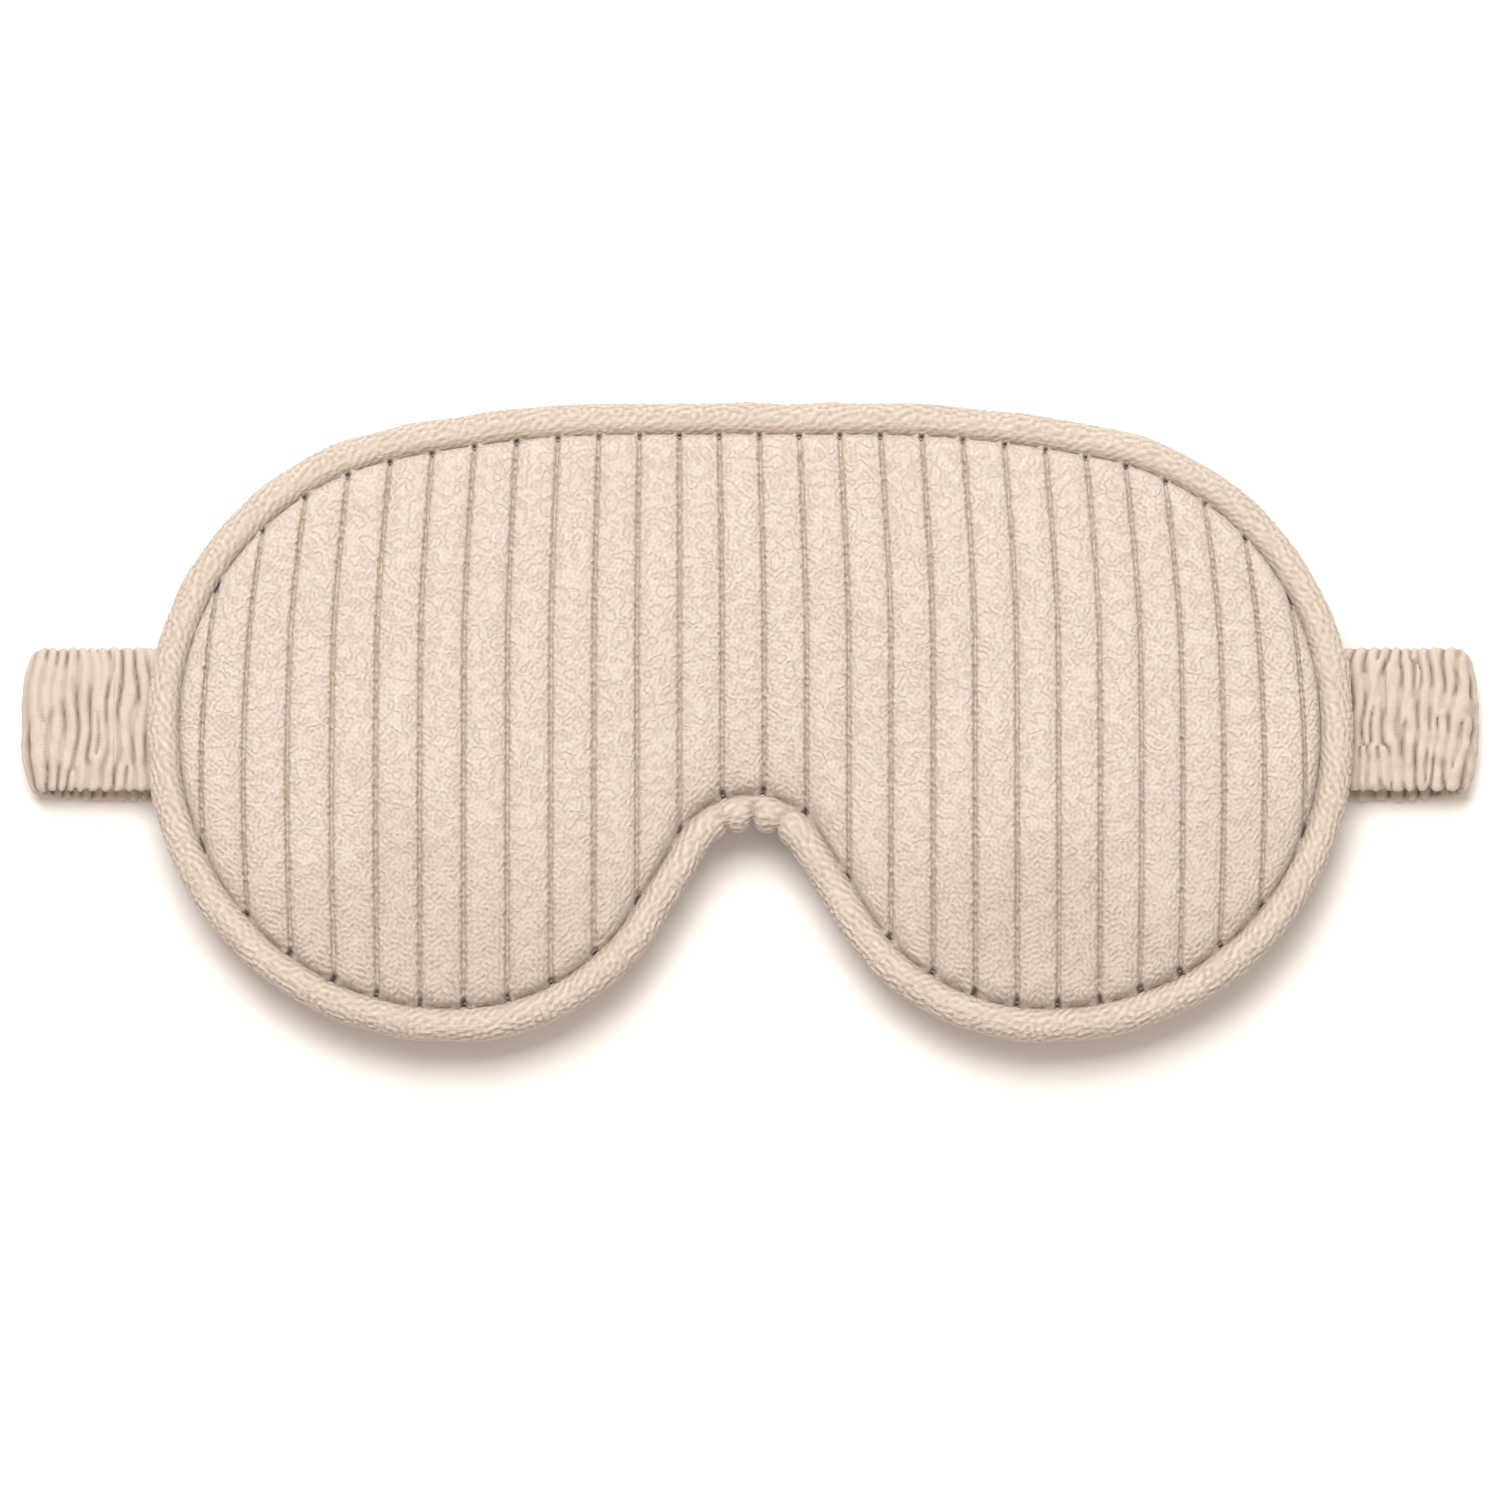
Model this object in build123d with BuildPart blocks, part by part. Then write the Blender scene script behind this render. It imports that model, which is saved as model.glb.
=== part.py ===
"""Padded sleep mask with a ruched elastic head strap.

It lies face up on its own folded strap: X across the mask, Y towards its top edge, Z towards its
front. The origin is under the middle of the mask, on the surface that the strap lies on.
All lengths are in millimetres and all angles in degrees.
"""

import os
from math import acos, atan2, cos, degrees, hypot, radians, sin

from build123d import *

# Mask outline: crown, end rounds, two lobes and the nose notch between them
mask_width = 210.0
mask_height = 112.3
crown_radius = 210.0  # slow curve each side of the flat top
crown_angle = 12.0
side_run = 3.4  # straight edge at the widest place
lobe_flat = 1.5  # straight edge at the bottom of each lobe
nose_depth = 37.5  # from the lobes' lowest point up to the notch's top
nose_radius = 8.6
flank_run = 16.0  # straight edge each side of the notch

# Edge binding: folded tape, rounded like piping
binding_width = 6.0
binding_thickness = 6.6
binding_outer_round = 3.0
binding_inner_round = 1.8
binding_wrap = 2.3  # tape between the outer edge and the layers' cut edge

# Layers, at their cut edge inside the binding
front_edge = 1.2
wadding_edge = 0.6
blackout_edge = 0.3
lining_edge = 0.7
layer_clearance = 0.05

# Front panel: plush with wide wales
front_rise = 4.6  # from the cut edge's top to the wale tops
front_skin = 2.4  # pile and ground together
front_round = 3.6
seam_valley = 0.9  # between the binding and the panels, where the stitches lie
wale_pitch = 7.35
wale_offset = 2.4  # the groove nearest the middle
groove_width = 1.0
groove_depth = 1.3

# Back: lining, blackout layer and wadding
lining_round = 1.0
wadding_clearance = 0.3

# Seam stitches
thread = 0.6
stitch_length = 2.7
stitch_pitch = 3.6

# Head strap: flat ruched tube over a flat elastic, folded back behind the mask
strap_width = 25.0
strap_thickness = 3.0
strap_y = 0.6
strap_reach = 22.05  # how far each fold stands out past the mask's side
fold_gap = 1.8  # between the strap's two layers
elastic_width = 20.0
elastic_thickness = 1.4
elastic_clearance = 0.1
elastic_side_clearance = 0.6
mask_lift = 0.35  # air between the strap and the binding
sewn_length = 6.0  # strap end that is tacked to the lining
back_run = 45.0  # from the back's middle to where the strap turns in use
split_gap = 0.1  # between the strap's rigid stand-in lengths
back_gap = 2.4  # opening at the back's middle, where the loop is opened

# Bar tacks over the sewn strap ends
tack_pitch = 2.0
tack_length = 3.2
tack_thickness = 0.4

# Heights
seam_inset = binding_width + seam_valley
layers = front_edge + wadding_edge + blackout_edge + lining_edge
upper_layer_z = strap_thickness + fold_gap
strap_top_z = upper_layer_z + strap_thickness
lining_face_z = strap_top_z + layer_clearance
binding_z = strap_top_z + mask_lift
middle_z = binding_z + binding_thickness / 2
lining_edge_z = middle_z - layers / 2
blackout_z = lining_edge_z + lining_edge
wadding_z = blackout_z + blackout_edge
front_z = wadding_z + wadding_edge
front_edge_top_z = front_z + front_edge

# Fold and hinge places, for the +X side
half_width = mask_width / 2
fold_radius = (strap_thickness + fold_gap) / 2
fold_z = strap_thickness + fold_gap / 2
fold_x = half_width + strap_reach - fold_radius - strap_thickness / 2
hinge_x = half_width - binding_width
fold_turn = 45.0  # the fold's own length turns this far each side of its outermost point


def mask_outline():
    """Closed mask outline, drawn clockwise from the top's middle and mirrored to the other half."""
    crown_drop = crown_radius * (1 - cos(radians(crown_angle)))
    end_round = (mask_height - side_run - crown_drop) / (1 + cos(radians(crown_angle)))
    crown_run = crown_radius * sin(radians(crown_angle))
    top_run = half_width - crown_run - end_round * (1 - sin(radians(crown_angle)))
    # The lobe's inner round and the flank's slope follow from the notch's width and depth
    notch_half = half_width - end_round - lobe_flat
    rounds = (notch_half**2 + nose_depth**2 - flank_run**2) / (2 * nose_depth)
    lobe_radius = rounds - nose_radius
    reach = hypot(notch_half, rounds - nose_depth)
    flank_angle = degrees(atan2(notch_half, rounds - nose_depth) - acos(rounds / reach))
    with BuildLine() as line:
        top = Line((0, mask_height / 2), (top_run, mask_height / 2))
        crown = JernArc(top @ 1, top % 1, crown_radius, -crown_angle)
        upper = JernArc(crown @ 1, crown % 1, end_round, crown_angle - 90)
        side = Line(upper @ 1, upper @ 1 + Vector(0, -side_run))
        lower = JernArc(side @ 1, (0, -1), end_round, -90)
        flat = Line(lower @ 1, lower @ 1 + Vector(-lobe_flat, 0))
        lobe = JernArc(flat @ 1, (-1, 0), lobe_radius, -flank_angle)
        flank = Line(lobe @ 1, lobe @ 1 + (lobe % 1) * flank_run)
        JernArc(flank @ 1, flank % 1, nose_radius, flank_angle)
        mirror(about=Plane.YZ)
    return line.line


def mask_face(inset):
    """The mask's outline, moved inwards."""
    with BuildSketch() as face:
        with BuildLine():
            add(mask_outline())
        make_face()
        if inset > 0:
            offset(amount=-inset, mode=Mode.REPLACE)
    return face.sketch


def mask_plate(inset, bottom, top, mode=Mode.ADD):
    """A flat plate of the mask's shape between two heights, for the part being built."""
    with BuildSketch(Plane.XY.offset(bottom)) as plan:
        add(mask_face(inset))
    return extrude(plan.sketch, amount=top - bottom, mode=mode)


def outer_edges(part, height):
    """The edges of a part's flat face at this height."""
    return part.faces().filter_by(GeomType.PLANE).filter_by(
        lambda face: abs(face.center().Z - height) < 0.01 and abs(face.normal_at().Z) > 0.99
    ).edges()


def save(part, name):
    """Label a finished piece and write it to its own file."""
    part.label = name
    export_step(part, f"parts/{name}.step")


os.makedirs("parts", exist_ok=True)

# Front panel: a dome of wide-wale plush. Its cut edge runs into the binding.
front_top_z = front_edge_top_z + front_rise
cavity_inset = seam_inset + front_skin
cavity_top_z = front_top_z - front_skin
groove_count = int(mask_width / wale_pitch / 2)
with BuildPart() as front_panel:
    mask_plate(seam_inset, front_z, front_top_z)
    fillet(outer_edges(front_panel, front_top_z), front_round)
    mask_plate(binding_wrap, front_z, front_edge_top_z)
    mask_plate(cavity_inset, front_z, cavity_top_z, mode=Mode.SUBTRACT)
    with BuildSketch(Plane.XY.offset(front_top_z - groove_depth)):
        for step in range(-groove_count, groove_count + 1):
            with Locations((wale_offset + step * wale_pitch, 0)):
                Rectangle(groove_width, mask_height)
    extrude(amount=2 * groove_depth, mode=Mode.SUBTRACT)
save(front_panel.part, "front_panel")

# Wadding: fills the dome, with a thin edge that is caught in the seam
with BuildPart() as wadding_pad:
    mask_plate(binding_wrap, wadding_z, front_z)
    mask_plate(cavity_inset + wadding_clearance, front_z, cavity_top_z - wadding_clearance)
save(wadding_pad.part, "wadding_pad")

# Blackout layer: a flat opaque sheet behind the wadding
with BuildPart() as blackout_layer:
    mask_plate(binding_wrap, blackout_z, wadding_z)
save(blackout_layer.part, "blackout_layer")

# Back panel: the smooth lining that lies on the eyes, slightly full
with BuildPart() as back_panel:
    mask_plate(seam_inset, lining_face_z, lining_edge_z)
    fillet(outer_edges(back_panel, lining_face_z), lining_round)
    mask_plate(binding_wrap, lining_edge_z, blackout_z)
save(back_panel.part, "back_panel")

# Edge binding: plush tape folded round the cut edges of all the layers
with BuildPart() as edge_binding:
    mask_plate(0, binding_z, binding_z + binding_thickness)
    for face_z in (binding_z, binding_z + binding_thickness):
        fillet(outer_edges(edge_binding, face_z), binding_outer_round)
    mask_plate(binding_width, binding_z, binding_z + binding_thickness, mode=Mode.SUBTRACT)
    for face_z in (binding_z, binding_z + binding_thickness):
        inner_rim = outer_edges(edge_binding, face_z).group_by(SortBy.DISTANCE)[0]
        fillet(inner_rim, binding_inner_round)
    slot_low_z = lining_edge_z - layer_clearance
    slot_high_z = front_edge_top_z + layer_clearance
    mask_plate(binding_wrap - layer_clearance, slot_low_z, slot_high_z, mode=Mode.SUBTRACT)
save(edge_binding.part, "edge_binding")

# Seam stitches: the dashes of thread in the valley beside the binding, front and back
seam_line = mask_face(binding_width + seam_valley / 2).face().outer_wire()
stitch_count = int(seam_line.length / stitch_pitch)
front_stitch_z = front_edge_top_z + thread / 2
back_stitch_z = lining_edge_z - thread / 2
stitch_places = []
for step in range(stitch_count):
    along = step * seam_line.length / stitch_count
    point = seam_line.position_at(along, PositionMode.LENGTH)
    direction = seam_line.tangent_at(along, PositionMode.LENGTH)
    for stitch_z in (front_stitch_z, back_stitch_z):
        stitch_places.append(Plane((point.X, point.Y, stitch_z), x_dir=direction, z_dir=(0, 0, 1)))
with BuildPart() as binding_stitches:
    with Locations(*stitch_places):
        Box(stitch_length, thread, thread)
save(binding_stitches.part, "binding_stitches")


# Head strap: one ruched tube over one elastic. Each is divided where the strap bends in use.
def strap_side(place, thickness, width):
    """A flat length of strap on the +X side, as thick and wide as asked, at a named place."""
    upper_z = upper_layer_z + strap_thickness / 2
    lower_z = strap_thickness / 2
    gap = split_gap / 2
    gap_turn = degrees(gap / fold_radius)
    fold_centre = (fold_x, fold_z)
    with BuildPart() as length:
        with BuildSketch(Plane.XZ.offset(-strap_y)):
            with BuildLine():
                if place == "tab":
                    Line((hinge_x - sewn_length, upper_z), (hinge_x - gap, upper_z))
                elif place == "end":
                    Line((hinge_x + gap, upper_z), (fold_x, upper_z))
                    CenterArc(fold_centre, fold_radius, 90, fold_turn + gap_turn - 90)
                elif place == "fold":
                    turn = fold_turn - gap_turn
                    CenterArc(fold_centre, fold_radius, turn, -2 * turn)
                elif place == "run":
                    CenterArc(fold_centre, fold_radius, -90, 90 - fold_turn - gap_turn)
                    Line((fold_x, lower_z), (back_run + gap, lower_z))
                elif place == "back":
                    Line((back_run - gap, lower_z), (back_gap / 2, lower_z))
            trace(line_width=thickness)
        extrude(amount=width / 2, both=True)
    return length.part


channel_thickness = elastic_thickness + 2 * elastic_clearance
channel_width = elastic_width + 2 * elastic_side_clearance
for place in ("tab", "end", "fold", "run", "back"):
    with BuildPart() as cover:
        add(strap_side(place, strap_thickness, strap_width))
        add(strap_side(place, channel_thickness, channel_width), mode=Mode.SUBTRACT)
    elastic = strap_side(place, elastic_thickness, elastic_width)
    save(cover.part, f"cover_{place}_right")
    save(cover.part.mirror(Plane.YZ), f"cover_{place}_left")
    save(elastic, f"elastic_{place}_right")
    save(elastic.mirror(Plane.YZ), f"elastic_{place}_left")

# Bar tacks: a row of close stitches over each sewn strap end
tack_rows = int(elastic_width / tack_pitch)
tack_x = hinge_x - sewn_length / 2
with BuildPart() as strap_tacks:
    for side_x in (-tack_x, tack_x):
        with Locations((side_x, strap_y, upper_layer_z - tack_thickness / 2)):
            with GridLocations(0, tack_pitch, 1, tack_rows):
                Box(tack_length, thread, tack_thickness)
save(strap_tacks.part, "strap_tacks")
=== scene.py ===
from math import acos, atan2, cos, hypot, pi, radians, sin, sqrt

import bmesh
import bpy
import numpy as np
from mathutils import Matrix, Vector


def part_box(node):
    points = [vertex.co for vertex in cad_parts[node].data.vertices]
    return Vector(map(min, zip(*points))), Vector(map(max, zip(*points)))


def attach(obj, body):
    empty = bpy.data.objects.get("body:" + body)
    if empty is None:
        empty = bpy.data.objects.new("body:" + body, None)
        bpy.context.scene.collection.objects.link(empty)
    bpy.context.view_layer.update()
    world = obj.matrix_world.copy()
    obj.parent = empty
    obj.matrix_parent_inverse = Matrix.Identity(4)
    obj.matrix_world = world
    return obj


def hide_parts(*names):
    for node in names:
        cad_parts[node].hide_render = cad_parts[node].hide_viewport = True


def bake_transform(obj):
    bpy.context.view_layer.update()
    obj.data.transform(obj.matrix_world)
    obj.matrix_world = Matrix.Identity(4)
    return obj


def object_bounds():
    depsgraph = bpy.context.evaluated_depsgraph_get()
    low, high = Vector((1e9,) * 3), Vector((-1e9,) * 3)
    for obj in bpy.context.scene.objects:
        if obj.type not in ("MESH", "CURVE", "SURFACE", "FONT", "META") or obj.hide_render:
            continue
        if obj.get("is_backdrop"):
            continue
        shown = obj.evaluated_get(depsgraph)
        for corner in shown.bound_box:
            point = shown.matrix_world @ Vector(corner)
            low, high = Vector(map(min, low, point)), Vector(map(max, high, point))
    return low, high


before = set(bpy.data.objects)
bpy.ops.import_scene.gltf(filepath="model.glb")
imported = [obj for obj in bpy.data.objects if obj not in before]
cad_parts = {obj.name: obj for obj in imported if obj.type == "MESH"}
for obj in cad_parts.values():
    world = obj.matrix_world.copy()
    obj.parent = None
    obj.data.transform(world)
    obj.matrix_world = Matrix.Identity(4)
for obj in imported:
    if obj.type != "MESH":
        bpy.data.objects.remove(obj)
cad_low, cad_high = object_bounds()

# --- Where it lies: a plain white table under soft light from beyond its top edge ---------------
# The mask lies face up on its own folded strap, and is looked down on from just below its
# bottom edge.
view_tilt = radians(82)
view_distance = 2.6
framed_width = 0.2615
sensor_width = 36
look_at = Vector((0.0, -0.0048, 0.010))

camera = bpy.data.objects.new("camera", bpy.data.cameras.new("camera"))
camera.location = look_at + view_distance * Vector((0, -cos(view_tilt), sin(view_tilt)))
camera.rotation_euler = (pi / 2 - view_tilt, 0, 0)
camera.data.sensor_width = sensor_width
camera.data.lens = sensor_width * view_distance / framed_width
camera.data.clip_end = 20
bpy.context.collection.objects.link(camera)
bpy.context.scene.camera = camera
bpy.context.scene.view_settings.view_transform = "Standard"


def lamp(name, place, target, width, power, colour):
    """A square soft light that faces a point."""
    light = bpy.data.lights.new(name, "AREA")
    light.size = width
    light.energy = power
    light.color = colour
    made = bpy.data.objects.new(name, light)
    made.location = place
    made.rotation_euler = (Vector(target) - Vector(place)).to_track_quat("-Z", "Y").to_euler()
    bpy.context.collection.objects.link(made)


lamp("window", (-0.22, 1.0, 2.35), (0, 0, 0), 1.6, 76, (1.0, 1.0, 1.0))
lamp("wall", (0.4, -1.2, 2.6), (0, 0, 0), 2.4, 14, (1.0, 0.94, 0.88))
world = bpy.data.worlds.new("room")
world.use_nodes = True
world.node_tree.nodes["Background"].inputs["Color"].default_value = (1.0, 0.91, 0.82, 1)
world.node_tree.nodes["Background"].inputs["Strength"].default_value = 0.38
bpy.context.scene.world = world

table_mesh = bpy.data.meshes.new("table")
table_half = 3.0
table_corners = [(x * table_half, y * table_half, 0) for x, y in ((-1, -1), (1, -1), (1, 1), (-1, 1))]
table_mesh.from_pydata(table_corners, [], [(0, 1, 2, 3)])
table = bpy.data.objects.new("table", table_mesh)
bpy.context.collection.objects.link(table)
table_material = bpy.data.materials.new("table")
table_material.use_nodes = True
table_shader = table_material.node_tree.nodes["Principled BSDF"]
table_shader.inputs["Base Color"].default_value = (0.97, 0.92, 0.88, 1)
table_shader.inputs["Roughness"].default_value = 0.9
table_mesh.materials.append(table_material)
table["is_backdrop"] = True

# --- Edge binding ------------------------------------------------------------------------------
# A strip of the same plush, folded round the cut edges of every layer and stitched through, so
# that it stands up like piping. It is drawn tight round the nose notch, where it puckers, and its
# ends overlap just above the strap on one side.
mm = 0.001
binding_low, binding_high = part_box("edge_binding")
binding_width = 6.0 * mm
binding_half_width = binding_width / 2
binding_half_height = (binding_high.z - binding_low.z) / 2
binding_middle = (binding_high.z + binding_low.z) / 2
tape_thickness = 1.2 * mm
crown_radius = 210 * mm
crown_turn = radians(12)
side_run = 3.4 * mm
lobe_flat = 1.5 * mm
nose_depth = 37.5 * mm
nose_radius = 8.6 * mm
flank_run = 16 * mm


def mask_edge(count):
    """Points of the mask's outer edge and the inward normal at each, evenly spaced, clockwise from
    the top's middle. Half the edge is straight runs and arcs, so its heading is a straight line in
    the distance along it between their ends; the other half is its mirror image."""
    half_width = binding_high.x
    crown_drop = crown_radius * (1 - cos(crown_turn))
    end_round = (2 * binding_high.y - side_run - crown_drop) / (1 + cos(crown_turn))
    top_run = half_width - crown_radius * sin(crown_turn) - end_round * (1 - sin(crown_turn))
    notch_half = half_width - end_round - lobe_flat
    rounds = (notch_half**2 + nose_depth**2 - flank_run**2) / (2 * nose_depth)
    beyond = rounds - nose_depth
    flank = atan2(notch_half, beyond) - acos(rounds / hypot(notch_half, beyond))
    radii = (0, crown_radius, end_round, 0, end_round, 0, rounds - nose_radius, 0, nose_radius)
    turns = (0, -crown_turn, crown_turn - pi / 2, 0, -pi / 2, 0, -flank, 0, flank)
    straights = (top_run, 0, 0, side_run, 0, lobe_flat, 0, flank_run, 0)
    lengths = [run + radius * abs(turn) for run, radius, turn in zip(straights, radii, turns)]
    ends = np.concatenate(([0], np.cumsum(lengths)))
    headings = np.concatenate(([0], np.cumsum(turns)))
    fine = np.linspace(0, ends[-1], 6001)
    middles = (fine[1:] + fine[:-1]) / 2
    heading = np.interp(middles, ends, headings)
    step = fine[1] - fine[0]
    x = np.concatenate(([0], np.cumsum(np.cos(heading)) * step))
    y = binding_high.y + np.concatenate(([0], np.cumsum(np.sin(heading)) * step))
    along = np.linspace(0, 2 * ends[-1], count, endpoint=False)
    mirrored = np.where(along > ends[-1], -1, 1)
    near = np.where(along > ends[-1], 2 * ends[-1] - along, along)
    points = np.stack([mirrored * np.interp(near, fine, x), np.interp(near, fine, y)], axis=1)
    angle = np.interp(near, ends, headings)
    normals = np.stack([mirrored * np.sin(angle), -np.cos(angle)], axis=1)
    return points, normals, along


def waves(seed, length, *coordinates, count=14):
    """Smooth seeded noise of about -1 to 1: cosines of random direction and phase whose wavelength
    is about the one given, added up at each point."""
    random = np.random.default_rng(seed)
    total = np.zeros(np.broadcast(*coordinates).shape)
    for _ in range(count):
        direction = random.normal(size=len(coordinates))
        direction /= np.linalg.norm(direction)
        rate = 2 * pi / length * random.uniform(0.6, 1.5)
        phase = random.uniform(0, 2 * pi)
        total = total + np.cos(phase + rate * sum(d * c for d, c in zip(direction, coordinates)))
    return total / np.sqrt(count)


def smooth(value):
    """0 below 0, 1 above 1, and a smooth step between."""
    value = np.clip(value, 0, 1)
    return value * value * (3 - 2 * value)


def cloth_mesh(name, points, material, u, v, loop_u=False, loop_v=False, marks=None, weld=False):
    """An object from a grid of points of shape (rows, columns, 3), joined end to end along a
    looped direction. u and v give the cloth's own coordinates in millimetres at each row and column,
    one longer than the grid where that direction is looped. Welding closes a seam of equal points."""
    rows, columns = points.shape[:2]
    row, column = np.meshgrid(
        np.arange(rows if loop_u else rows - 1),
        np.arange(columns if loop_v else columns - 1),
        indexing="ij",
    )
    row, column = row.ravel(), column.ravel()
    corner_rows = np.stack([row, row + 1, row + 1, row], axis=1)
    corner_columns = np.stack([column, column, column + 1, column + 1], axis=1)
    faces = (corner_rows % rows) * columns + corner_columns % columns
    mesh = bpy.data.meshes.new(name)
    mesh.vertices.add(rows * columns)
    mesh.vertices.foreach_set("co", points.reshape(-1).astype(np.float32))
    mesh.loops.add(faces.size)
    mesh.loops.foreach_set("vertex_index", faces.reshape(-1).astype(np.int32))
    mesh.polygons.add(len(faces))
    mesh.polygons.foreach_set("loop_start", np.arange(0, faces.size, 4, dtype=np.int32))
    mesh.polygons.foreach_set("use_smooth", np.ones(len(faces), dtype=bool))
    mesh.update(calc_edges=True)
    layer = mesh.uv_layers.new(name="cloth")
    uv = np.stack([np.asarray(u)[corner_rows], np.asarray(v)[corner_columns]], axis=2)
    layer.data.foreach_set("uv", uv.reshape(-1).astype(np.float32))
    for mark, values in (marks or {}).items():
        attribute = mesh.attributes.new(mark, "FLOAT", "POINT")
        attribute.data.foreach_set("value", values.reshape(-1).astype(np.float32))
    if weld:
        shell = bmesh.new()
        shell.from_mesh(mesh)
        bmesh.ops.remove_doubles(shell, verts=shell.verts, dist=1e-7)
        bmesh.ops.dissolve_degenerate(shell, dist=1e-8, edges=shell.edges)
        shell.to_mesh(mesh)
        shell.free()
    mesh.materials.append(material)
    made = bpy.data.objects.new(name, mesh)
    bpy.context.collection.objects.link(made)
    return made


def node(tree, kind, sockets, **settings):
    """A shader node. Each socket is given a number or colour, or joined to another's output."""
    made = tree.nodes.new(kind)
    for key, value in settings.items():
        setattr(made, key, value)
    for key, value in sockets.items():
        if isinstance(value, bpy.types.NodeSocket):
            tree.links.new(value, made.inputs[key])
        else:
            made.inputs[key].default_value = value
    return made


def calc(tree, operation, *values):
    """A Math node's output."""
    return node(tree, "ShaderNodeMath", dict(enumerate(values)), operation=operation).outputs[0]


def blend_colours(tree, share, first, second):
    """A mix of two colours."""
    mixer = node(tree, "ShaderNodeMix", {0: share, 6: first, 7: second}, data_type="RGBA")
    return mixer.outputs[2]


def noise(tree, where, scale, detail=1.0, roughness=0.5, distortion=0.0):
    """A noise texture's value, its scale counted per metre."""
    sockets = {
        "Vector": where,
        "Scale": scale,
        "Detail": detail,
        "Roughness": roughness,
        "Distortion": distortion,
    }
    return node(tree, "ShaderNodeTexNoise", sockets).outputs["Fac"]


def cloth_material(name, roughness=0.9, sheen=0.25):
    """A new material with its node tree and its Principled shader."""
    material = bpy.data.materials.new(name)
    material.use_nodes = True
    tree = material.node_tree
    shader = tree.nodes["Principled BSDF"]
    shader.inputs["Roughness"].default_value = roughness
    shader.inputs["Specular IOR Level"].default_value = 0.15
    shader.inputs["Sheen Weight"].default_value = sheen
    shader.inputs["Sheen Roughness"].default_value = 0.6
    return material, tree, shader


def dress(tree, shader, colour, height, depth):
    """Joins a colour and a bump height, its full depth in metres, to a shader."""
    tree.links.new(colour, shader.inputs["Base Color"])
    bump = node(tree, "ShaderNodeBump", {"Height": height, "Strength": 1.0, "Distance": depth})
    tree.links.new(bump.outputs[0], shader.inputs["Normal"])


def curled_pile(tree, where, lean=None):
    """Short curled pile, 0 in the narrow gaps between the curls to 1 on them: level lines of a smooth
    noise, so that they wind and circle like the curls. lean, where given, is a phase that rises
    across the pile's own direction, and the lines then follow it."""
    coarse = noise(tree, where, 345, detail=1.0, roughness=0.4, distortion=0.35)
    fine = noise(tree, where, 1500, detail=0.0)
    winding = 28.0 if lean is None else 12.0
    phase = calc(tree, "MULTIPLY_ADD", coarse, winding, calc(tree, "MULTIPLY", fine, 2.4))
    if lean is not None:
        phase = calc(tree, "ADD", phase, lean)
    line = calc(tree, "MULTIPLY_ADD", calc(tree, "SINE", phase), 0.5, 0.5)
    line = calc(tree, "POWER", line, 0.5)
    broken = noise(tree, where, 1000, detail=0.0)
    lift = calc(tree, "MULTIPLY_ADD", broken, 0.8, 0.5)
    return calc(tree, "MULTIPLY", line, lift)


# The crest colours are the plush's own. The gap colours are painted shade, laid where the pile is low:
# between the curls, in creases and in tucks.
pile_crest_colour = (0.69, 0.613, 0.545, 1)
pile_gap_shade = (0.32, 0.24, 0.175, 1)
tape_crest_colour = (0.68, 0.588, 0.508, 1)
tape_gap_shade = (0.29, 0.21, 0.15, 1)

tape_material, tree, shader = cloth_material("plush_tape")
where = node(tree, "ShaderNodeTexCoord", {}).outputs["Object"]
tape_place = node(tree, "ShaderNodeUVMap", {}, uv_map="cloth").outputs[0]
axes = node(tree, "ShaderNodeSeparateXYZ", {0: tape_place})
lengthwise = calc(tree, "MULTIPLY", axes.outputs[1], 2 * pi / 0.7)
combed_curls = calc(tree, "MULTIPLY", curled_pile(tree, where, lengthwise), 0.35)
curls = calc(tree, "MULTIPLY_ADD", curled_pile(tree, where), 0.65, combed_curls)
patch = noise(tree, where, 120, detail=2.0)
pile_shade_mark = node(tree, "ShaderNodeAttribute", {}, attribute_name="pile").outputs["Fac"]
binding_shade_mark = node(tree, "ShaderNodeAttribute", {}, attribute_name="hollow").outputs["Fac"]
# Painted shade: the binding is darker in the gaps between its curls (curls, pile mark). It is darker still
# on its inner side beside the front panel and in the tucks of the puckers (hollow mark). Patch is the
# cloth's own uneven tone.
share = calc(tree, "MULTIPLY_ADD", curls, 0.26, calc(tree, "MULTIPLY_ADD", pile_shade_mark, 0.50, 0.22))
share = calc(tree, "MULTIPLY_ADD", patch, 0.15, share)
share = calc(tree, "MULTIPLY_ADD", binding_shade_mark, -0.30, share)
dress(tree, shader, blend_colours(tree, share, tape_gap_shade, tape_crest_colour), curls, 0.10 * mm)

binding_steps = 1300
edge_points, edge_normals, edge_along = mask_edge(binding_steps)
edge_length = edge_along[1] * binding_steps
lip_angle = radians(24)
outside_points = 58
inside_points = 15
squareness = 2.3


def section_points(half_width, half_height, squareness, count, start=0.0, whole=True):
    """Points of a superellipse spaced evenly along it, and the direction angle of each: from a start
    angle up through a whole turn, or only to the same angle short of it."""
    angle = np.linspace(start, 2 * pi - start, 4001)
    across = np.sign(np.cos(angle)) * np.abs(np.cos(angle)) ** (2 / squareness) * half_width
    up = np.sign(np.sin(angle)) * np.abs(np.sin(angle)) ** (2 / squareness) * half_height
    run = np.concatenate(([0], np.cumsum(np.hypot(np.diff(across), np.diff(up)))))
    at = np.linspace(0, run[-1], count, endpoint=not whole)
    return np.interp(at, run, across), np.interp(at, run, up), np.interp(at, run, angle)


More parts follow.
